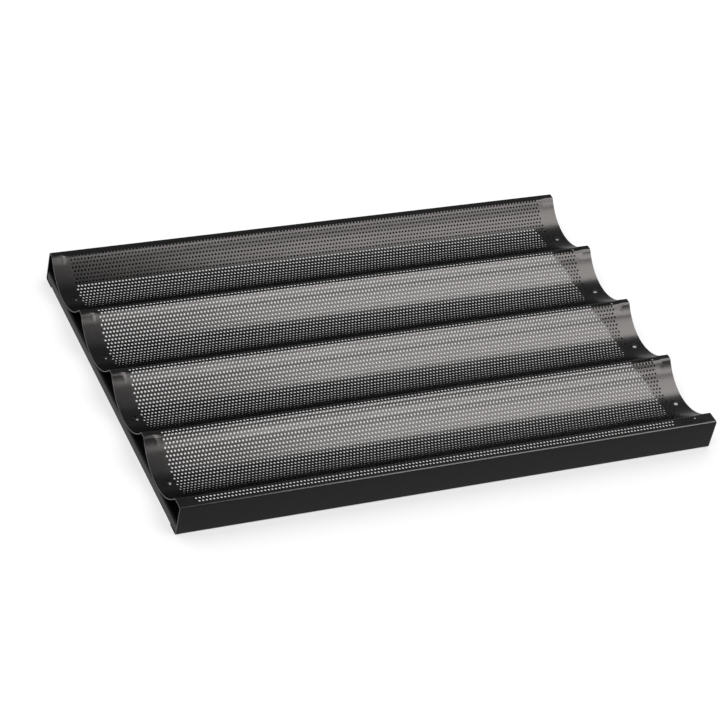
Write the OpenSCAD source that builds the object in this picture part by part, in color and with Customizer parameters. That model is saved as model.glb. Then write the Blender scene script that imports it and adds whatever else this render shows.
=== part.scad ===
// Baguette tray: one formed sheet with four open-ended troughs,
// carried on two folded cross channels by eight blind rivets.
// Frame: X along the troughs, Y across them from front to back, Z up,
// origin on the floor under the middle of the tray. Millimetres.

/* [Tray] */
// Length of the tray along the troughs
tray_length = 600; // [400:10:800]
// Width of the tray across the troughs
tray_width = 400; // [400:1:420]
// Thickness of the formed sheet
sheet_thick = 0.8; // [0.6:0.1:1.2]
// Outside radius of the bends along the side flanges
edge_bend_radius = 2; // [1.5:0.5:2.5]

/* [Troughs] */
// Distance from one trough's centre line to the next
trough_pitch = 96; // [95:0.5:96]
// Depth of a trough below the ridges
trough_depth = 23; // [18:0.5:23.5]
// Outside radius of the folds along the ridges
ridge_fold_radius = 3; // [2:0.5:4]

/* [Sides] */
// Flat ledge between the front flange and the first trough
front_ledge = 13.5; // [10:0.5:13.5]
// Width of the lip turned inwards under each side flange
lip_width = 15; // [10:1:25]

/* [End bars] */
// Width of an end bar along the tray
bar_width = 19; // [17:1:30]
// Height of an end bar
bar_height = 10.9; // [7:0.1:20]
// Thickness of the folded bar
bar_thick = 1.2; // [0.8:0.1:2]
// Outside radius of the bar's two folds
bar_bend_radius = 2.5; // [2:0.5:3]
// Distance from the end of the sheet to an end bar
bar_inset = 0.5; // [0:0.5:2]
// Clearance between an end bar and the inside of a side flange
bar_end_gap = 1; // [0.5:0.5:3]

/* [Rivets] */
// Distance from the end of the sheet to the rivets
rivet_from_end = 12; // [11:0.5:14]
// Diameter of the rivet's shank
shank_diameter = 4; // [3:0.1:4]
// Diameter of the rivet's head
head_diameter = 8; // [7:0.1:8]
// Height of the domed head above its rim
head_dome = 1; // [0.6:0.1:1.4]
// Height of the thin rim of the head
head_rim = 0.3; // [0.2:0.1:0.5]
// Diameter of the bore through the rivet
bore_diameter = 2.4; // [1.8:0.1:2.6]
// Diameter of the swollen end under the bar
tail_diameter = 6; // [5:0.1:6.4]
// Length of the swollen end under the bar
tail_length = 2.6; // [2:0.1:3]
// Depth of the broken mandrel below the top of the head
mandrel_recess = 0.7; // [0.4:0.1:0.9]
// Diameter of the mandrel's own head
mandrel_head_diameter = 3.8; // [3:0.1:4]
// Height of the mandrel's own head
mandrel_head_height = 1.4; // [1:0.1:2]

/* [Hidden] */
TROUGHS = 4;
FINE = 96;
CLEARANCE = 0.1;

front_y = -tray_width / 2;
back_y = tray_width / 2;
bar_top = sheet_thick + bar_height;
trough_floor = bar_top + sheet_thick;
top_z = trough_floor + trough_depth;

// The wall is steepest where the trough's arc meets the fold's arc. There its
// slope is that of a 3-4-5 triangle, so both arcs end on the same clean points.
WALL_RISE = 0.8;
WALL_RUN = 0.6;
centre_gap = trough_depth / (1 - WALL_RUN);
trough_radius = centre_gap - ridge_fold_radius;
trough_half = centre_gap * WALL_RISE;

first_trough_y = front_y + front_ledge + trough_half;
last_trough_y = first_trough_y + (TROUGHS - 1) * trough_pitch;
trough_centre_z = trough_floor + trough_radius;

head_radius = head_diameter / 2;
// A flat head rests on the sides of the rounded trough floor.
head_lift = trough_radius - sqrt(trough_radius * trough_radius - head_radius * head_radius);
head_base_z = trough_floor + head_lift;
head_top_z = head_base_z + head_rim + head_dome;
dome_radius = (head_radius * head_radius + head_dome * head_dome) / (2 * head_dome);
web_under_z = bar_top - bar_thick;
tail_end_z = web_under_z - tail_length;
tail_bevel = 0.6;
mandrel_diameter = bore_diameter - 2 * CLEARANCE;
rivet_hole_diameter = shank_diameter + 2 * CLEARANCE;

function trough_y(i) = first_trough_y + i * trough_pitch;

// ---- small shapes ----

// A strip of sheet bent through an arc of less than a half turn. The arc runs
// from one direction to the other, each a unit vector out of its centre.
module arc_strip(centre, inner, outer, from, to) {
    reach = 2 * outer;
    translate(centre)
    intersection() {
        difference() {
            circle(r = outer, $fn = FINE);
            circle(r = inner, $fn = FINE);
        }
        polygon([
            [0, 0],
            reach * from,
            reach * (from + to),
            reach * to
        ]);
    }
}

// A straight strip of sheet between two corners
module flat_strip(low, high) {
    translate(low)
    square([high[0] - low[0], high[1] - low[1]]);
}

// ---- formed sheet ----

// One rounded trough with the folds up to the ridges on both sides of it
module trough_profile(y) {
    arc_strip(
        [y, trough_centre_z],
        trough_radius,
        trough_radius + sheet_thick,
        [-WALL_RISE, -WALL_RUN],
        [WALL_RISE, -WALL_RUN]
    );
    for (side = [-1, 1])
        arc_strip(
            [y + side * trough_half, top_z - ridge_fold_radius],
            ridge_fold_radius - sheet_thick,
            ridge_fold_radius,
            [-side * WALL_RISE, WALL_RUN],
            [0, 1]
        );
}

// Side flange with its bends and the lip turned inwards, for the front side
module flange_profile() {
    bend_y = front_y + edge_bend_radius;
    bend_inner = edge_bend_radius - sheet_thick;
    arc_strip([bend_y, top_z - edge_bend_radius], bend_inner, edge_bend_radius, [0, 1], [-1, 0]);
    flat_strip([front_y, edge_bend_radius], [front_y + sheet_thick, top_z - edge_bend_radius]);
    arc_strip([bend_y, edge_bend_radius], bend_inner, edge_bend_radius, [-1, 0], [0, -1]);
    flat_strip([bend_y, 0], [front_y + lip_width, sheet_thick]);
}

// The whole cross-section of the sheet
module sheet_profile() {
    for (i = [0:TROUGHS - 1])
        trough_profile(trough_y(i));
    for (i = [0:TROUGHS - 2])
        flat_strip(
            [trough_y(i) + trough_half, top_z - sheet_thick],
            [trough_y(i + 1) - trough_half, top_z]
        );
    flat_strip(
        [front_y + edge_bend_radius, top_z - sheet_thick],
        [first_trough_y - trough_half, top_z]
    );
    flat_strip(
        [last_trough_y + trough_half, top_z - sheet_thick],
        [back_y - edge_bend_radius, top_z]
    );
    flange_profile();
    mirror([1, 0])
    flange_profile();
}

// Turns a cross-section drawn in Y and Z so that it runs along X
module along_x(length) {
    translate([-length / 2, 0, 0])
    rotate([90, 0, 90])
    linear_extrude(height = length)
    children();
}

// One upright shape at each rivet place of one end, -1 left and 1 right
module at_rivets(end) {
    for (i = [0:TROUGHS - 1])
        translate([end * (tray_length / 2 - rivet_from_end), trough_y(i), 0])
        children();
}

module rivet_holes() {
    hole_length = head_base_z - web_under_z + 2 * sheet_thick;
    translate([0, 0, web_under_z - sheet_thick])
    cylinder(d = rivet_hole_diameter, h = hole_length, $fn = FINE);
}

module tray_sheet() {
    color("#1c1c1e")
    difference() {
        along_x(tray_length)
        sheet_profile();
        at_rivets(-1)
        rivet_holes();
        at_rivets(1)
        rivet_holes();
    }
}

// ---- end bars ----

// Cross-section of an end bar in X and Z: a channel open downwards
module bar_profile() {
    half = bar_width / 2;
    bend_x = half - bar_bend_radius;
    bend_z = bar_top - bar_bend_radius;
    inner = bar_bend_radius - bar_thick;
    arc_strip([bend_x, bend_z], inner, bar_bend_radius, [1, 0], [0, 1]);
    arc_strip([-bend_x, bend_z], inner, bar_bend_radius, [0, 1], [-1, 0]);
    flat_strip([-bend_x, web_under_z], [bend_x, bar_top]);
    flat_strip([half - bar_thick, sheet_thick], [half, bend_z]);
    flat_strip([-half, sheet_thick], [bar_thick - half, bend_z]);
}

module end_bar(end) {
    bar_length = tray_width - 2 * (sheet_thick + bar_end_gap);
    color("#232325")
    difference() {
        translate([end * (tray_length / 2 - bar_inset - bar_width / 2), bar_length / 2, 0])
        rotate([90, 0, 0])
        linear_extrude(height = bar_length)
        bar_profile();
        at_rivets(end)
        rivet_holes();
    }
}

module left_end_bar() {
    end_bar(-1);
}

module right_end_bar() {
    end_bar(1);
}

// ---- blind rivets ----

// Body of one rivet: domed head, shank and the swollen end that grips the bar
module rivet_body() {
    difference() {
        union() {
            translate([0, 0, head_base_z])
            cylinder(r = head_radius, h = head_rim, $fn = FINE);
            intersection() {
                translate([0, 0, head_top_z - dome_radius])
                sphere(r = dome_radius, $fn = FINE);
                translate([0, 0, head_base_z + head_rim])
                cylinder(r = head_radius, h = head_dome, $fn = FINE);
            }
            translate([0, 0, tail_end_z])
            cylinder(d = shank_diameter, h = head_base_z + head_rim - tail_end_z, $fn = FINE);
            translate([0, 0, tail_end_z + tail_bevel])
            cylinder(d = tail_diameter, h = tail_length - tail_bevel, $fn = FINE);
            translate([0, 0, tail_end_z])
            cylinder(d1 = tail_diameter - 2 * tail_bevel, d2 = tail_diameter, h = tail_bevel, $fn = FINE);
        }
        translate([0, 0, tail_end_z - sheet_thick])
        cylinder(d = bore_diameter, h = head_top_z - tail_end_z + 2 * sheet_thick, $fn = FINE);
    }
}

// Broken mandrel left inside a rivet, with its own head under the swollen end
module mandrel() {
    translate([0, 0, tail_end_z])
    cylinder(d = mandrel_diameter, h = head_top_z - mandrel_recess - tail_end_z, $fn = FINE);
    translate([0, 0, tail_end_z - mandrel_head_height])
    cylinder(d = mandrel_head_diameter, h = mandrel_head_height, $fn = FINE);
}

module left_rivets() {
    color("#2a2a2c")
    at_rivets(-1)
    rivet_body();
}

module right_rivets() {
    color("#2a2a2c")
    at_rivets(1)
    rivet_body();
}

module left_mandrels() {
    color("#5b5d60")
    at_rivets(-1)
    mandrel();
}

module right_mandrels() {
    color("#5b5d60")
    at_rivets(1)
    mandrel();
}

tray_sheet();
left_end_bar();
right_end_bar();
left_rivets();
right_rivets();
left_mandrels();
right_mandrels();
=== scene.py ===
"""Baguette tray: formed and perforated sheet, end channels, rivets, and their studio."""

import math

import bpy
import numpy as np
from bpy.props import FloatProperty, FloatVectorProperty, IntProperty, PointerProperty
from bpy.types import Operator, Panel, PropertyGroup
from mathutils import Euler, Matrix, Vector


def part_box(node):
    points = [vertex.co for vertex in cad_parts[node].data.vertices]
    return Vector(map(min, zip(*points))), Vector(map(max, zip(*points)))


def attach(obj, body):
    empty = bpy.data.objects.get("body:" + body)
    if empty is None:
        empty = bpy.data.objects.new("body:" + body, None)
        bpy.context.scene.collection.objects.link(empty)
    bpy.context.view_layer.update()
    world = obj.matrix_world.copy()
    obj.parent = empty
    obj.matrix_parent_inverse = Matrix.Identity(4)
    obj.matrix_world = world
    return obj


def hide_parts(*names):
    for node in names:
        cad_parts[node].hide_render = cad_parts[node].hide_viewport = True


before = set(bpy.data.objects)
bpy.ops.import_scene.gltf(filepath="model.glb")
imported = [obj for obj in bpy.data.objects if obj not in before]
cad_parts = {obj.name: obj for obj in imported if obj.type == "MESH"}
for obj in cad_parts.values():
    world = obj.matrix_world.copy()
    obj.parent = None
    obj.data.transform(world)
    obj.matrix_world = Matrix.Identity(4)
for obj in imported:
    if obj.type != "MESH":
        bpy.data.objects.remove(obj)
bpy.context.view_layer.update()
SHEET_LOW, SHEET_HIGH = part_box("tray_sheet")

bl_info = {
    "name": "Baguette Tray",
    "version": (1, 0, 0),
    "blender": (4, 5, 0),
    "location": "View3D > Sidebar > Baguette Tray",
    "description": "Builds a perforated four-trough baguette tray and its studio",
    "category": "Object",
}

MM = 0.001
ROOT = "root"

# Rows of holes are numbered from the middle of a trough, and the ones of a
# trough run from FIRST_ROW to LAST_ROW. The back trough stops a row earlier,
# and the front ledge has the two rows before the front trough's first.
FIRST_ROW = -12
LAST_ROW = 13
BACK_LAST_ROW = 12
LEDGE_ROWS = (-14, -13)

# A point lies on a line when it is this near to it.
NEAR = 0.01 * MM
# A point this far past the end of a segment still counts as on it.
SLACK = 0.001 * MM

PIP_FROM_END = 12.5 * MM
PIP_ROW = 11.5

# The ridges sink over this height below their tops, and rise again between
# these distances from the ends of the sheet.
SINK_HEIGHT = 9 * MM
SINK_START = 9.5 * MM
SINK_RUN = 6 * MM

CAMERA_PLACE = (-1.1516, -1.8618, 1.7560)
CAMERA_TURN = (50.537, -9.931, -23.214)
CAMERA_LENS = 132.965
CAMERA_SENSOR = 36


def linear(hex_colour):
    """A linear colour from an sRGB hex value."""
    parts = [int(hex_colour[i : i + 2], 16) / 255 for i in (1, 3, 5)]
    return [c / 12.92 if c <= 0.04045 else ((c + 0.055) / 1.055) ** 2.4 for c in parts] + [1.0]


# ---- sizes and colours a user would change ----


class TraySheetSettings(PropertyGroup):
    """Sizes and colours of the formed and perforated sheet."""

    length: FloatProperty(
        name="Length",
        description="Length of the tray along the troughs",
        default=SHEET_HIGH.x - SHEET_LOW.x,
        unit="LENGTH",
    )
    width: FloatProperty(
        name="Width",
        description="Width of the tray across the troughs",
        default=SHEET_HIGH.y - SHEET_LOW.y,
        unit="LENGTH",
    )
    height: FloatProperty(
        name="Height",
        description="Height of the ridges above the floor",
        default=SHEET_HIGH.z,
        unit="LENGTH",
    )
    thickness: FloatProperty(
        name="Sheet Thickness",
        description="Thickness of the sheet",
        default=0.8 * MM,
        unit="LENGTH",
    )
    edge_bend: FloatProperty(
        name="Edge Bend",
        description="Outside radius of the bends along the side flanges",
        default=2.0 * MM,
        unit="LENGTH",
    )
    lip: FloatProperty(
        name="Lip",
        description="Width of the lip turned in under each side flange",
        default=15.0 * MM,
        unit="LENGTH",
    )
    front_ledge: FloatProperty(
        name="Front Ledge",
        description="Width of the flat ledge in front of the first trough",
        default=13.5 * MM,
        unit="LENGTH",
    )
    trough_pitch: FloatProperty(
        name="Trough Pitch",
        description="Distance between neighbouring troughs",
        default=96.0 * MM,
        unit="LENGTH",
    )
    trough_depth: FloatProperty(
        name="Trough Depth",
        description="Depth of a trough below its ridges",
        default=23.0 * MM,
        unit="LENGTH",
    )
    ridge_fold: FloatProperty(
        name="Ridge Fold",
        description="Outside radius of the folds along a ridge",
        default=3.0 * MM,
        unit="LENGTH",
    )
    ridge_drop: FloatProperty(
        name="Ridge Drop",
        description="How far the perforated ridges sink below their plain ends",
        default=0.9 * MM,
        unit="LENGTH",
    )


    pip_height: FloatProperty(
        name="Pip Height",
        description="Height of the small pips pressed near the ends of the ridges",
        default=0.5 * MM,
        unit="LENGTH",
    )
    coating: FloatVectorProperty(
        name="Coating",
        description="Colour of the black non-stick coating",
        default=linear("#0b0b0c")[:3],
        subtype="COLOR",
        size=3,
    )
    dull_coating: FloatVectorProperty(
        name="Dull Coating",
        description="Colour of the coating where baking and wiping have dulled it",
        default=linear("#0e0d0d")[:3],
        subtype="COLOR",
        size=3,
    )


class PerforationSettings(PropertyGroup):
    """Sizes of the staggered round holes."""

    diameter: FloatProperty(
        name="Hole Diameter",
        description="Diameter of a hole",
        default=2.4 * MM,
        unit="LENGTH",
    )
    pitch: FloatProperty(
        name="Hole Pitch",
        description="Distance between holes in a row along the tray",
        default=3.8 * MM,
        unit="LENGTH",
    )
    rows_per_trough: IntProperty(
        name="Rows per Trough",
        description="Rows of holes from one ridge to the next",
        default=26,
    )
    columns: IntProperty(
        name="Columns",
        description="Holes in each long row",
        default=148,
    )


class StudioSettings(PropertyGroup):
    """Strengths of the studio's lights."""

    key_power: FloatProperty(
        name="Key Power",
        description="Power of the large softbox over the tray",
        default=40.0,
        unit="POWER",
    )
    front_power: FloatProperty(
        name="Front Power",
        description="Power of the narrow softbox in front of the tray",
        default=15.0,
        unit="POWER",
    )
    table_glow: FloatProperty(
        name="Table Glow",
        description="Light from the white table around the tray",
        default=0.35,
    )
    # Painted light: the extra glow of the table under the tray, a painted pool of light that
    # fills the tray's shadow so the holes look bright.
    under_tray_painted_glow: FloatProperty(
        name="Panel Glow",
        description="Light from the lit panel of the table under the tray",
        default=0.6,
    )
    table_bounce: FloatProperty(
        name="Table Bounce",
        description="Light that the table throws back at the tray",
        default=0.4,
    )
    air_light: FloatProperty(
        name="Air Light",
        description="Even light from the white studio walls",
        default=1.5,
    )
    air_shine: FloatProperty(
        name="Air Shine",
        description="Brightness of the studio walls in reflections",
        default=0.25,
    )


# ---- cross-section of the formed sheet ----


def section_segments(sheet):
    """The outer face of the cross-section from the front lip to the back lip.

    Each segment is (length, turn): turn is the signed radius of its bend, or
    zero for a straight run. The walk starts at the edge of the front lip,
    heads for the front and keeps the outer face on its left.
    """
    run = 0.6
    wall = math.acos(run)
    gap = sheet.trough_depth / (1 - run)
    trough = gap - sheet.ridge_fold
    half_width = gap * math.sin(wall)
    quarter = math.pi / 2 * sheet.edge_bend
    ridge = sheet.trough_pitch - 2 * half_width
    back_ledge = (
        sheet.width - sheet.front_ledge - 3 * sheet.trough_pitch - 2 * half_width
    )
    flange = sheet.height - 2 * sheet.edge_bend
    edge = [
        (sheet.lip - sheet.edge_bend, 0),
        (quarter, -sheet.edge_bend),
        (flange, 0),
        (quarter, -sheet.edge_bend),
    ]
    fold = (wall * sheet.ridge_fold, -sheet.ridge_fold)
    bowl = (2 * wall * trough, trough)
    walk = list(edge) + [(sheet.front_ledge - sheet.edge_bend, 0)]
    for number in range(4):
        walk += [fold, bowl, fold]
        walk.append((ridge if number < 3 else back_ledge - sheet.edge_bend, 0))
    return walk + edge[::-1]


def walk_section(sheet):
    """Start point, heading and length of every segment, in order."""
    at = np.array([-sheet.width / 2 + sheet.lip, 0.0])
    heading, along, out = math.pi, 0.0, []
    for length, turn in section_segments(sheet):
        out.append((along, length, turn, at.copy(), heading))
        if turn:
            angle = length / turn
            centre = at + turn * np.array([-math.sin(heading), math.cos(heading)])
            heading += angle
            at = centre - turn * np.array([-math.sin(heading), math.cos(heading)])
        else:
            at = at + length * np.array([math.cos(heading), math.sin(heading)])
        along += length
    return out


def trough_centre(sheet, number):
    """Distance along the section to the middle of a trough, counted from 0 at the front."""
    segments = walk_section(sheet)
    bowls = [s for s in segments if s[2] > 0]
    return bowls[number][0] + bowls[number][1] / 2


def bend_lines(sheet, low, high):
    """Distances along the section where it has to be cut so that its bends stay round."""
    lines = []
    for start, length, turn, _, _ in walk_section(sheet):
        if turn < 0:
            steps = 2 if abs(turn) == sheet.ridge_fold else 6
            lines += [start + length * i / steps for i in range(steps + 1)]
    return [line for line in lines if low + 0.02 * MM < line < high - 0.02 * MM]


def lift_pips(sheet, co, made, along):
    """Presses a small pip up near each end of a trough's back wall, just under the ridge."""
    at_pip = np.abs(np.abs(co[:, 0]) - (sheet.length / 2 - PIP_FROM_END)) < 0.1 * MM
    hole = Hole(sheet, bpy.context.scene.perforation)
    for start, length, turn, _, _ in walk_section(sheet):
        if turn > 0:
            row = start + length / 2 + PIP_ROW * hole.row
            here = at_pip & (np.abs(along - row) < 0.2 * MM)
            angle = (row - start - length / 2) / turn
            made[here, 1] -= sheet.pip_height * math.sin(angle)
            made[here, 2] += sheet.pip_height * math.cos(angle)


def form_sheet(piece, sheet):
    """Presses a flat piece into the cross-section.

    The flat piece has its distance along the section as Y and its height
    above the outer face as Z. Forming keeps every hole wall square to the
    sheet. The ridges of the perforated part sink a little, and rise again
    towards the plain ends.
    """
    count = len(piece.data.vertices)
    co = np.zeros(count * 3)
    piece.data.vertices.foreach_get("co", co)
    co = co.reshape(-1, 3)
    along, above = co[:, 1].copy(), co[:, 2].copy()
    made = co.copy()
    for start, length, turn, at, heading in walk_section(sheet):
        here = (along >= start - SLACK) & (along <= start + length + SLACK)
        step = along[here] - start
        if turn:
            angle = heading + step / turn
            centre = at + turn * np.array([-math.sin(heading), math.cos(heading)])
            made[here, 1] = centre[0] + (turn - above[here]) * np.sin(angle)
            made[here, 2] = centre[1] - (turn - above[here]) * np.cos(angle)
        else:
            made[here, 1] = at[0] + step * math.cos(heading) - above[here] * math.sin(heading)
            made[here, 2] = at[1] + step * math.sin(heading) + above[here] * math.cos(heading)
    lift_pips(sheet, co, made, along)
    low = sheet.height - SINK_HEIGHT
    nearness = np.clip((made[:, 2] - low) / SINK_HEIGHT, 0, 1)
    inner = np.abs(made[:, 1]) < sheet.width / 2 - 5 * MM
    from_end = sheet.length / 2 - np.abs(made[:, 0])
    sink = np.clip((from_end - SINK_START) / SINK_RUN, 0, 1)
    sink = sink * sink * (3 - 2 * sink)
    made[:, 2] -= sheet.ridge_drop * sink * nearness**2 * inner
    piece.data.vertices.foreach_set("co", made.ravel())
    piece.data.update()


# ---- modelling helpers ----


def deselect_all():
    """Leaves object mode with nothing selected."""
    if bpy.context.object and bpy.context.object.mode != "OBJECT":
        bpy.ops.object.mode_set(mode="OBJECT")
    bpy.ops.object.select_all(action="DESELECT")


def make_active(piece):
    """Selects one piece alone."""
    deselect_all()
    piece.select_set(True)
    bpy.context.view_layer.objects.active = piece


def apply_modifier(piece, kind, **settings):
    """Adds a modifier, sets it and applies it."""
    make_active(piece)
    bpy.ops.object.modifier_add(type=kind)
    modifier = piece.modifiers[-1]
    for name, value in settings.items():
        setattr(modifier, name, value)
    bpy.ops.object.modifier_apply(modifier=modifier.name)


def repeat(piece, columns, across, rows, along):
    """Repeats a shape on a grid."""
    for count, offset in ((columns, (across, 0, 0)), (rows, (0, along, 0))):
        if count > 1:
            apply_modifier(
                piece,
                "ARRAY",
                count=count,
                use_relative_offset=False,
                use_constant_offset=True,
                constant_offset_displace=offset,
            )


def join(pieces, name):
    """Joins pieces into the first one, and welds the points that meet."""
    deselect_all()
    for piece in pieces:
        piece.select_set(True)
    bpy.context.view_layer.objects.active = pieces[0]
    if len(pieces) > 1:
        bpy.ops.object.join()
    whole = bpy.context.view_layer.objects.active
    whole.name = name
    whole.data.name = name
    bpy.ops.object.mode_set(mode="EDIT")
    bpy.ops.mesh.select_all(action="SELECT")
    bpy.ops.mesh.remove_doubles(threshold=NEAR)
    bpy.ops.object.mode_set(mode="OBJECT")
    return whole


def select_edges(piece, wanted):
    """Selects the edges whose two ends pass a test, in edit mode."""
    bpy.ops.object.mode_set(mode="EDIT")
    bpy.ops.mesh.select_all(action="DESELECT")
    bpy.ops.mesh.select_mode(type="EDGE")
    bpy.ops.object.mode_set(mode="OBJECT")
    points = piece.data.vertices
    for edge in piece.data.edges:
        edge.select = all(wanted(points[i].co) for i in edge.vertices)
    bpy.ops.object.mode_set(mode="EDIT")


def pull_edge(piece, wanted, stations, axis):
    """Extrudes the edges that pass a test to each station along an axis in turn."""
    make_active(piece)
    select_edges(piece, wanted)
    for before, after in zip(stations, stations[1:]):
        move = [0.0, 0.0, 0.0]
        move[axis] = after - before
        bpy.ops.mesh.extrude_edges_move(
            MESH_OT_extrude_edges_indiv={},
            TRANSFORM_OT_translate={"value": move},
        )
    bpy.ops.object.mode_set(mode="OBJECT")


def cut_across(piece, lines, axis):
    """Cuts the piece by planes square to an axis, and keeps both sides."""
    make_active(piece)
    bpy.ops.object.mode_set(mode="EDIT")
    normal = [0.0, 0.0, 0.0]
    normal[axis] = 1.0
    for line in lines:
        at = [0.0, 0.0, 0.0]
        at[axis] = line
        bpy.ops.mesh.select_all(action="SELECT")
        bpy.ops.mesh.bisect(plane_co=at, plane_no=normal, threshold=0.001 * MM)
    bpy.ops.object.mode_set(mode="OBJECT")


def punched_cell(hole, x, along):
    """One cell of flat sheet round one hole: a six-point border joined to the hole's rim."""
    deselect_all()
    bpy.ops.mesh.primitive_grid_add(x_subdivisions=2, y_subdivisions=1, size=1)
    cell = bpy.context.object
    cell.scale = (hole.pitch, hole.row, 1)
    bpy.ops.object.transform_apply(location=False, rotation=False, scale=True)
    select_edges(cell, lambda co: abs(co.x) < NEAR)
    bpy.ops.mesh.delete(type="EDGE")
    bpy.ops.mesh.primitive_circle_add(
        vertices=8, radius=hole.radius, fill_type="NOTHING", rotation=(0, 0, math.pi / 8)
    )
    bpy.ops.mesh.select_all(action="SELECT")
    bpy.ops.mesh.bridge_edge_loops()
    bpy.ops.mesh.select_all(action="SELECT")
    bpy.ops.mesh.normals_make_consistent(inside=False)
    bpy.ops.transform.translate(value=(x, along, 0))
    bpy.ops.object.mode_set(mode="OBJECT")
    if cell.data.polygons[0].normal.z < 0:
        cell.data.flip_normals()
    return cell


def plain_cell(width, height, x, along):
    """A plain rectangle of flat sheet."""
    deselect_all()
    bpy.ops.mesh.primitive_plane_add(size=1, location=(x, along, 0))
    cell = bpy.context.object
    cell.scale = (width, height, 1)
    bpy.ops.object.transform_apply(location=True, rotation=False, scale=True)
    return cell


class Hole:
    """Measures of the staggered perforation, along the tray and along the section."""

    def __init__(self, sheet, perforation):
        fold_to_fold = trough_centre(sheet, 1) - trough_centre(sheet, 0)
        self.radius = perforation.diameter / 2
        self.pitch = perforation.pitch
        self.columns = perforation.columns
        self.row = fold_to_fold / perforation.rows_per_trough
        self.reach = self.columns * self.pitch / 2


def punched_rows(name, hole, middle, first, last):
    """Flat sheet with rows of holes, numbered from the middle of a trough.

    Odd rows are the long ones. Even rows are shifted by half a pitch, so they
    have one hole less and a plain half cell at each end.
    """
    parts = []
    for odd in (True, False):
        rows = [row for row in range(first, last + 1) if (row % 2 == 1) == odd]
        start = middle + rows[0] * hole.row
        left = -hole.reach + (hole.pitch / 2 if odd else hole.pitch)
        cell = punched_cell(hole, left, start)
        repeat(cell, hole.columns - (0 if odd else 1), hole.pitch, len(rows), 2 * hole.row)
        parts.append(cell)
        if not odd:
            for side in (-1, 1):
                at = side * (hole.reach - hole.pitch / 4)
                end = plain_cell(hole.pitch / 2, hole.row, at, start)
                repeat(end, 1, 0, len(rows), 2 * hole.row)
                parts.append(end)
    return join(parts, name)


def pull_margins(flat, sheet, hole):
    """Adds the plain margins, from the last holes to the ends of the sheet."""
    from_end = [sheet.length / 2 - hole.reach] + [d * MM for d in (15.5, 14, 12.5, 11, 9.5, 0)]
    for side in (-1, 1):
        edge = side * hole.reach
        stations = [side * (sheet.length / 2 - d) for d in from_end]
        pull_edge(flat, lambda co: abs(co.x - edge) < NEAR, stations, 0)


def finish_sheet_piece(flat, sheet, low, high):
    """Cuts the bends' lines, thickens the flat sheet, forms it and shades it."""
    cut_across(flat, bend_lines(sheet, low, high), 1)
    apply_modifier(flat, "SOLIDIFY", thickness=sheet.thickness, offset=-1.0)
    form_sheet(flat, sheet)
    make_active(flat)
    bpy.ops.object.shade_smooth_by_angle(angle=math.radians(40))
    deselect_all()
    flat.data.materials.clear()
    flat.data.materials.append(coated_sheet_material())
    return flat


def hand_over(piece):
    """Checks a piece of the sheet and ties it to the tray."""
    if len(piece.data.polygons) < 10:
        raise RuntimeError(piece.name + " came out empty")
    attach(piece, ROOT)
    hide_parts("tray_sheet")


def make_trough(name, sheet, hole, number, last):
    """One perforated trough, up to its given last row of holes."""
    middle = trough_centre(sheet, number)
    flat = punched_rows(name, hole, middle, FIRST_ROW, last)
    pull_margins(flat, sheet, hole)
    low = middle + (FIRST_ROW - 0.5) * hole.row
    high = middle + (last + 0.5) * hole.row
    return finish_sheet_piece(flat, sheet, low, high)


def copy_piece(piece, name, shift):
    """A copy with its own mesh, further back by the shift."""
    deselect_all()
    make_active(piece)
    bpy.ops.object.duplicate(linked=False)
    copy = bpy.context.object
    copy.name = copy.data.name = name
    copy.location.y = shift
    bpy.ops.object.transform_apply(location=True, rotation=False, scale=False)
    return copy


# ---- materials ----


def add_node(tree, kind, settings=None, links=None):
    """One new node. Settings set its properties and sockets, and links feed its sockets."""
    node = tree.nodes.new(kind)
    for name, value in (settings or {}).items():
        if isinstance(name, int) or name in node.inputs:
            node.inputs[name].default_value = value
        else:
            setattr(node, name, value)
    for name, source in (links or {}).items():
        tree.links.new(source, node.inputs[name])
    return node


def new_material(name):
    """An empty node material and its output."""
    material = bpy.data.materials.get(name)
    if material:
        return material, None, None
    material = bpy.data.materials.new(name)
    material.use_nodes = True
    tree = material.node_tree
    tree.nodes.clear()
    return material, tree, add_node(tree, "ShaderNodeOutputMaterial")


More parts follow.
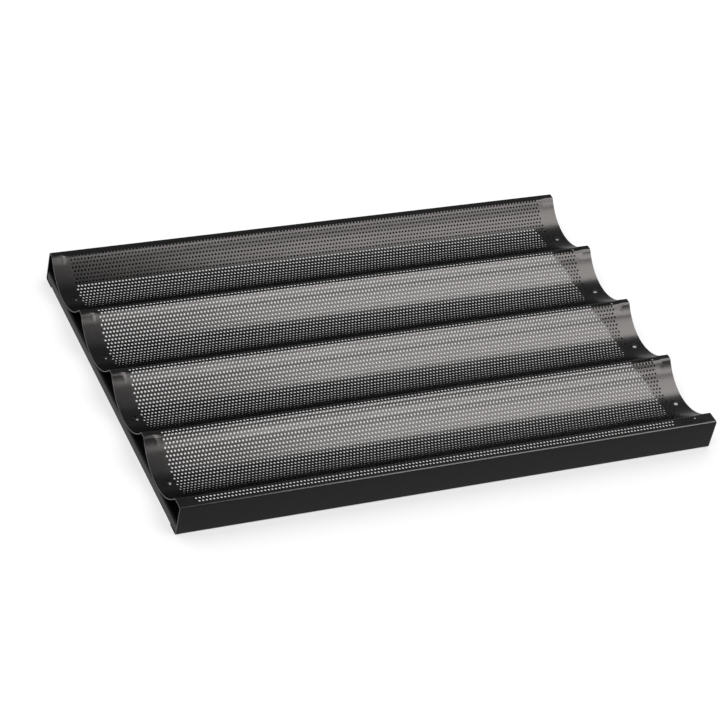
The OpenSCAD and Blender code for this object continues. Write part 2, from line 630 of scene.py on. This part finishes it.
def coated_sheet_material():
    """Black non-stick coating, sprayed and baked on aluminium sheet.

    It is a soft resin with a low index. Spraying leaves a fine orange peel,
    and baking and wiping leave slightly duller clouds. The shear-cut ends of
    the sheet are painted paler: partly because the coating is thin there, and
    partly as a painted highlight along the end edges.
    """
    material, tree, output = new_material("Baked Non-Stick Coating")
    if tree is None:
        return material
    sheet = bpy.context.scene.tray_sheet
    place = add_node(tree, "ShaderNodeTexCoord").outputs["Object"]
    clouds = add_node(
        tree,
        "ShaderNodeTexNoise",
        {"Scale": 1 / (60 * MM), "Detail": 4.0, "Roughness": 0.55},
        {"Vector": place},
    ).outputs["Fac"]
    peel = add_node(
        tree,
        "ShaderNodeTexNoise",
        {"Scale": 1 / (1.6 * MM), "Detail": 2.0, "Roughness": 0.5},
        {"Vector": place},
    ).outputs["Fac"]
    dullness = add_node(
        tree,
        "ShaderNodeMapRange",
        {"From Min": 0.3, "From Max": 0.7, "To Min": 0.23, "To Max": 0.28},
        {"Value": clouds},
    ).outputs["Result"]
    tint = add_node(tree, "ShaderNodeMix", {"data_type": "RGBA"}, {"Factor": clouds})
    tint.inputs["A"].default_value = (*sheet.coating, 1.0)
    tint.inputs["B"].default_value = (*sheet.dull_coating, 1.0)
    size = add_node(tree, "ShaderNodeVectorMath", {"operation": "ABSOLUTE"}, {0: place})
    ends = add_node(tree, "ShaderNodeSeparateXYZ", links={"Vector": size.outputs["Vector"]})
    # Painted highlight: the shear-cut ends of the sheet, at its largest X, get a paler grey.
    # The coating is also thin there.
    sheared_end_highlight = add_node(
        tree,
        "ShaderNodeMath",
        {"operation": "GREATER_THAN", 1: SHEET_HIGH.x - 0.1 * MM},
        {0: ends.outputs["X"]},
    ).outputs["Value"]
    colour = add_node(
        tree,
        "ShaderNodeMix",
        {"data_type": "RGBA"},
        {"Factor": sheared_end_highlight, "A": tint.outputs["Result"]},
    )
    # The paler grey of the shear-cut ends: partly thin coating, partly a painted highlight.
    colour.inputs["B"].default_value = linear("#5c5c5e")
    bump = add_node(
        tree,
        "ShaderNodeBump",
        {"Strength": 0.25, "Distance": 0.03 * MM},
        {"Height": peel},
    ).outputs["Normal"]
    shader = add_node(
        tree,
        "ShaderNodeBsdfPrincipled",
        {"IOR": 1.35, "Metallic": 0.0},
        {"Base Color": colour.outputs["Result"], "Roughness": dullness, "Normal": bump},
    )
    tree.links.new(shader.outputs["BSDF"], output.inputs["Surface"])
    return material


def glossy_fitting_material():
    """The same coating where it has flowed smooth over small pressed parts."""
    material, tree, output = new_material("Baked Coating on Fittings")
    if tree is None:
        return material
    place = add_node(tree, "ShaderNodeTexCoord").outputs["Object"]
    peel = add_node(
        tree,
        "ShaderNodeTexNoise",
        {"Scale": 1 / (0.9 * MM), "Detail": 2.0},
        {"Vector": place},
    ).outputs["Fac"]
    dullness = add_node(
        tree,
        "ShaderNodeMapRange",
        {"From Min": 0.3, "From Max": 0.7, "To Min": 0.16, "To Max": 0.24},
        {"Value": peel},
    ).outputs["Result"]
    bump = add_node(
        tree, "ShaderNodeBump", {"Strength": 0.2, "Distance": 0.02 * MM}, {"Height": peel}
    ).outputs["Normal"]
    shader = add_node(
        tree,
        "ShaderNodeBsdfPrincipled",
        {"Base Color": linear("#0c0c0d"), "IOR": 1.50},
        {"Roughness": dullness, "Normal": bump},
    )
    tree.links.new(shader.outputs["BSDF"], output.inputs["Surface"])
    return material


def darkened_steel_material():
    """Broken ends of steel mandrels, darkened by coating mist and many bakes."""
    material, tree, output = new_material("Oven-Darkened Steel")
    if tree is None:
        return material
    place = add_node(tree, "ShaderNodeTexCoord").outputs["Object"]
    stain = add_node(
        tree,
        "ShaderNodeTexNoise",
        {"Scale": 1 / (0.7 * MM), "Detail": 3.0},
        {"Vector": place},
    ).outputs["Fac"]
    dullness = add_node(
        tree,
        "ShaderNodeMapRange",
        {"From Min": 0.3, "From Max": 0.7, "To Min": 0.35, "To Max": 0.5},
        {"Value": stain},
    ).outputs["Result"]
    tint = add_node(tree, "ShaderNodeMix", {"data_type": "RGBA"}, {"Factor": stain})
    tint.inputs["A"].default_value = linear("#2b2a2a")
    tint.inputs["B"].default_value = linear("#4a4846")
    shader = add_node(
        tree,
        "ShaderNodeBsdfPrincipled",
        {"Metallic": 1.0},
        {"Base Color": tint.outputs["Result"], "Roughness": dullness},
    )
    tree.links.new(shader.outputs["BSDF"], output.inputs["Surface"])
    return material


def table_material(studio):
    """White acrylic light table: matt, with a painted pool of light under the tray.

    The table glows brighter under the tray. This is painted light that fills the
    tray's shadow, and the glow fades out over the edge of the tray's footprint.
    The table throws less light back at the tray than the camera sees on it.
    """
    material, tree, output = new_material("White Acrylic Table")
    if tree is None:
        return material
    seen = add_node(tree, "ShaderNodeLightPath").outputs["Is Camera Ray"]
    place = add_node(tree, "ShaderNodeTexCoord").outputs["Object"]
    size = add_node(tree, "ShaderNodeVectorMath", {"operation": "ABSOLUTE"}, {0: place})
    sides = add_node(tree, "ShaderNodeSeparateXYZ", links={"Vector": size.outputs["Vector"]})
    # Painted pool of light: a mask that is 1 under the tray's footprint and fades out past its
    # edge.
    painted_pool = None
    for side, half in (("X", SHEET_HIGH.x), ("Y", SHEET_HIGH.y)):
        fade = add_node(
            tree,
            "ShaderNodeMapRange",
            {
                "interpolation_type": "SMOOTHSTEP",
                "From Min": half - 10 * MM,
                "From Max": half + 6 * MM,
                "To Min": 1.0,
                "To Max": 0.0,
            },
            {"Value": sides.outputs[side]},
        ).outputs["Result"]
        if painted_pool:
            fade = add_node(
                tree, "ShaderNodeMath", {"operation": "MULTIPLY"}, {0: painted_pool, 1: fade}
            ).outputs["Value"]
        painted_pool = fade
    # The table glows brighter under the tray than around it: painted light that fills the
    # tray's shadow.
    glow = add_node(
        tree,
        "ShaderNodeMix",
        {"A": studio.table_glow, "B": studio.under_tray_painted_glow},
        {"Factor": painted_pool},
    ).outputs["Result"]
    emitted = add_node(
        tree, "ShaderNodeMix", {"A": studio.table_bounce}, {"Factor": seen, "B": glow}
    ).outputs["Result"]
    white = add_node(tree, "ShaderNodeMix", {"data_type": "RGBA"}, {"Factor": seen})
    white.inputs["A"].default_value = linear("#595959")
    white.inputs["B"].default_value = linear("#bcbcbc")
    shader = add_node(
        tree,
        "ShaderNodeBsdfPrincipled",
        {
            "Roughness": 0.6,
            "Specular IOR Level": 0.0,
            "Emission Color": linear("#ffffff"),
        },
        {"Base Color": white.outputs["Result"], "Emission Strength": emitted},
    )
    tree.links.new(shader.outputs["BSDF"], output.inputs["Surface"])
    return material


def studio_air(studio):
    """White studio walls: even light, but dimmer in reflections."""
    world = bpy.data.worlds.new("Studio Air")
    world.use_nodes = True
    tree = world.node_tree
    tree.nodes.clear()
    shiny = add_node(tree, "ShaderNodeLightPath").outputs["Is Glossy Ray"]
    strength = add_node(
        tree,
        "ShaderNodeMix",
        {"A": studio.air_light, "B": studio.air_shine},
        {"Factor": shiny},
    ).outputs["Result"]
    air = add_node(
        tree, "ShaderNodeBackground", {"Color": (1, 1, 1, 1)}, {"Strength": strength}
    )
    output = add_node(tree, "ShaderNodeOutputWorld")
    tree.links.new(air.outputs["Background"], output.inputs["Surface"])
    return world


def paint_cad_node(name, material):
    """Gives a carried-over node its material and leaves its mesh alone."""
    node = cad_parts[name]
    node.data.materials.clear()
    node.data.materials.append(material)


# ---- operators: one for each piece or group of like pieces ----


class TRAY_OT_troughs(Operator):
    """Punches and forms the perforated troughs"""

    bl_idname = "tray.troughs"
    bl_label = "Troughs"

    def execute(self, context):
        sheet = context.scene.tray_sheet
        hole = Hole(sheet, context.scene.perforation)
        front = make_trough("front_trough", sheet, hole, 0, LAST_ROW)
        second = copy_piece(front, "second_trough", sheet.trough_pitch)
        third = copy_piece(second, "third_trough", sheet.trough_pitch)
        back = make_trough("back_trough", sheet, hole, 3, BACK_LAST_ROW)
        for piece in (front, second, third, back):
            hand_over(piece)
        return {"FINISHED"}


class TRAY_OT_front_edge(Operator):
    """Punches and bends the front ledge, flange and lip"""

    bl_idname = "tray.front_edge"
    bl_label = "Front Edge"

    def execute(self, context):
        sheet = context.scene.tray_sheet
        hole = Hole(sheet, context.scene.perforation)
        middle = trough_centre(sheet, 0)
        flat = punched_rows("front_edge", hole, middle, *LEDGE_ROWS)
        pull_margins(flat, sheet, hole)
        edge = middle + (LEDGE_ROWS[0] - 0.5) * hole.row
        stations = [edge] + sorted([0.0] + bend_lines(sheet, 0, edge), reverse=True)
        pull_edge(flat, lambda co: abs(co.y - edge) < NEAR, stations, 1)
        end = middle + (LEDGE_ROWS[1] + 0.5) * hole.row
        hand_over(finish_sheet_piece(flat, sheet, edge, end))
        return {"FINISHED"}


class TRAY_OT_back_edge(Operator):
    """Bends the plain back ledge, flange and lip"""

    bl_idname = "tray.back_edge"
    bl_label = "Back Edge"

    def execute(self, context):
        sheet = context.scene.tray_sheet
        hole = Hole(sheet, context.scene.perforation)
        start = trough_centre(sheet, 3) + (BACK_LAST_ROW + 0.5) * hole.row
        end = sum(length for length, _ in section_segments(sheet))
        flat = plain_cell(2 * hole.reach, end - start, 0, (start + end) / 2)
        flat.name = flat.data.name = "back_edge"
        pull_margins(flat, sheet, hole)
        hand_over(finish_sheet_piece(flat, sheet, start, end))
        return {"FINISHED"}


class TRAY_OT_fittings(Operator):
    """Finishes the end channels, rivets and broken mandrels"""

    bl_idname = "tray.fittings"
    bl_label = "Fittings"

    def execute(self, context):
        for side in ("left", "right"):
            paint_cad_node(side + "_end_bar", coated_sheet_material())
            paint_cad_node(side + "_rivets", glossy_fitting_material())
            paint_cad_node(side + "_mandrels", darkened_steel_material())
        return {"FINISHED"}


class TRAY_OT_studio(Operator):
    """Sets up the table, lights and camera"""

    bl_idname = "tray.studio"
    bl_label = "Studio"

    def execute(self, context):
        studio = context.scene.tray_studio
        deselect_all()
        bpy.ops.mesh.primitive_plane_add(size=12, location=(0, 0, -0.0002))
        floor = context.object
        floor.name = "studio_table"
        floor.data.materials.append(table_material(studio))
        context.scene.world = studio_air(studio)
        key_place, key_target = (0.90, -0.155, 1.2), (0.90, -0.155, 0)
        add_softbox("key_softbox", key_place, key_target, 1.20, 0.99, studio.key_power)
        front_place, front_target = (0.75, -0.86, 1.0), (0.75, 0.1, 0)
        add_softbox("front_softbox", front_place, front_target, 1.15, 0.24, studio.front_power)
        context.scene.view_settings.view_transform = "Standard"
        camera_data = bpy.data.cameras.new("camera")
        camera = bpy.data.objects.new("camera", camera_data)
        context.scene.collection.objects.link(camera)
        camera.location = CAMERA_PLACE
        camera.rotation_euler = Euler([math.radians(a) for a in CAMERA_TURN], "XYZ")
        camera_data.sensor_width = CAMERA_SENSOR
        camera_data.lens = CAMERA_LENS
        camera_data.clip_start, camera_data.clip_end = 0.1, 50
        context.scene.camera = camera
        return {"FINISHED"}


def add_softbox(name, place, target, width, height, power):
    """A rectangular softbox that faces a target and only draws highlights on the coating."""
    deselect_all()
    bpy.ops.object.light_add(type="AREA", location=place)
    lamp = bpy.context.object
    lamp.name = name
    lamp.data.shape = "RECTANGLE"
    lamp.data.size, lamp.data.size_y = width, height
    lamp.data.energy = power
    lamp.data.color = linear("#fff9f6")[:3]
    lamp.visible_camera = False
    lamp.visible_diffuse = False
    lamp.rotation_euler = (Vector(target) - Vector(place)).to_track_quat("-Z", "Y").to_euler()


class TRAY_PT_panel(Panel):
    """Settings and build steps of the tray"""

    bl_idname = "TRAY_PT_panel"
    bl_label = "Baguette Tray"
    bl_space_type = "VIEW_3D"
    bl_region_type = "UI"
    bl_category = "Baguette Tray"

    def draw(self, context):
        scene = context.scene
        for group in (scene.tray_sheet, scene.perforation, scene.tray_studio):
            box = self.layout.box()
            for name in group.__annotations__:
                box.prop(group, name)
        for step in STEPS:
            self.layout.operator(step.bl_idname)


STEPS = (
    TRAY_OT_troughs,
    TRAY_OT_front_edge,
    TRAY_OT_back_edge,
    TRAY_OT_fittings,
    TRAY_OT_studio,
)
CLASSES = (TraySheetSettings, PerforationSettings, StudioSettings, *STEPS, TRAY_PT_panel)


def register():
    for cls in CLASSES:
        bpy.utils.register_class(cls)
    bpy.types.Scene.tray_sheet = PointerProperty(type=TraySheetSettings)
    bpy.types.Scene.perforation = PointerProperty(type=PerforationSettings)
    bpy.types.Scene.tray_studio = PointerProperty(type=StudioSettings)


def unregister():
    del bpy.types.Scene.tray_sheet
    del bpy.types.Scene.perforation
    del bpy.types.Scene.tray_studio
    for cls in reversed(CLASSES):
        bpy.utils.unregister_class(cls)


def main():
    register()
    bpy.ops.tray.troughs()
    bpy.ops.tray.front_edge()
    bpy.ops.tray.back_edge()
    bpy.ops.tray.fittings()
    bpy.ops.tray.studio()


if __name__ == "__main__":
    main()
